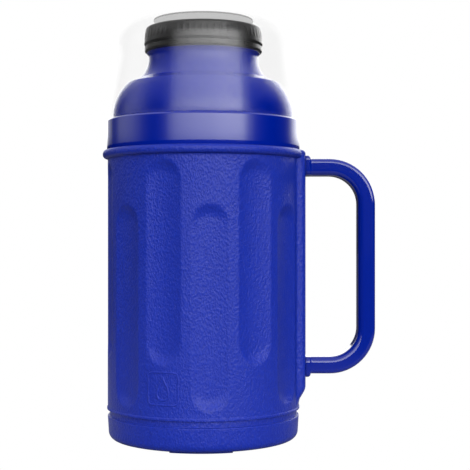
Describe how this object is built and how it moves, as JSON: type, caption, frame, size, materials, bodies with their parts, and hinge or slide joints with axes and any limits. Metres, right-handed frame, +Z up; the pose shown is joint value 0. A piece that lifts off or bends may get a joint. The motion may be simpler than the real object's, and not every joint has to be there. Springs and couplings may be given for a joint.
{
  "type": "insulated water jug",
  "caption": "Fluted insulated water jug with a rimmed shell, glossy shoulder, screw stopper, clear drinking cup over it and a bolted D-shaped side handle.",
  "frame": {"origin": "on the jug's axis, in the plane its feet stand on", "axes": "+Z up along the jug's axis, +X from the axis towards the handle"},
  "size_m": [0.2075, 0.1536, 0.3203],
  "materials": {
    "shell_pp": "fine leather-grain moulded blue polypropylene",
    "gloss_pp": "polished blue polypropylene",
    "vessel_pe": "natural white food-grade polyethylene",
    "foam_pu": "rigid polyurethane foam, cream",
    "stopper_black": "satin black polypropylene",
    "seal_silicone": "soft translucent silicone",
    "neck_rubber": "dark rubber",
    "steel": "zinc-plated steel",
    "clear_cup": "clear polystyrene"
  },
  "bodies": {
    "jug": {"outer_shell": "shell_pp", "base_cap": "shell_pp", "base_plug": "shell_pp", "inner_vessel": "vessel_pe", "foam_insulation": "foam_pu", "shoulder_collar": "gloss_pp", "neck_seal": "neck_rubber", "handle": "gloss_pp", "handle_plates": "steel", "handle_screws": "steel"},
    "seal": {"stopper_gasket": "seal_silicone"},
    "stopper": {"stopper_body": "stopper_black", "stopper_cap": "stopper_black", "stopper_foam": "foam_pu"},
    "cup": {"cup": "clear_cup"}
  },
  "joints": [
    {"name": "stopper_rise", "type": "slide", "parent": "jug", "child": "seal", "axis": [0, 0, 1], "range_m": [0, 0.0301]},
    {"name": "stopper_turn", "type": "hinge", "parent": "seal", "child": "stopper", "pos_m": [0, 0, 0.3], "axis": [0, 0, 1], "range_deg": [0, 900]},
    {"name": "cup_lift", "type": "slide", "parent": "seal", "child": "cup", "axis": [0, 0, 1], "range_m": [0, 0.09]}
  ],
  "couplings": [
    {"joint": "stopper_rise", "follows": "stopper_turn", "m_per_rad": 0.0019099}
  ]
}
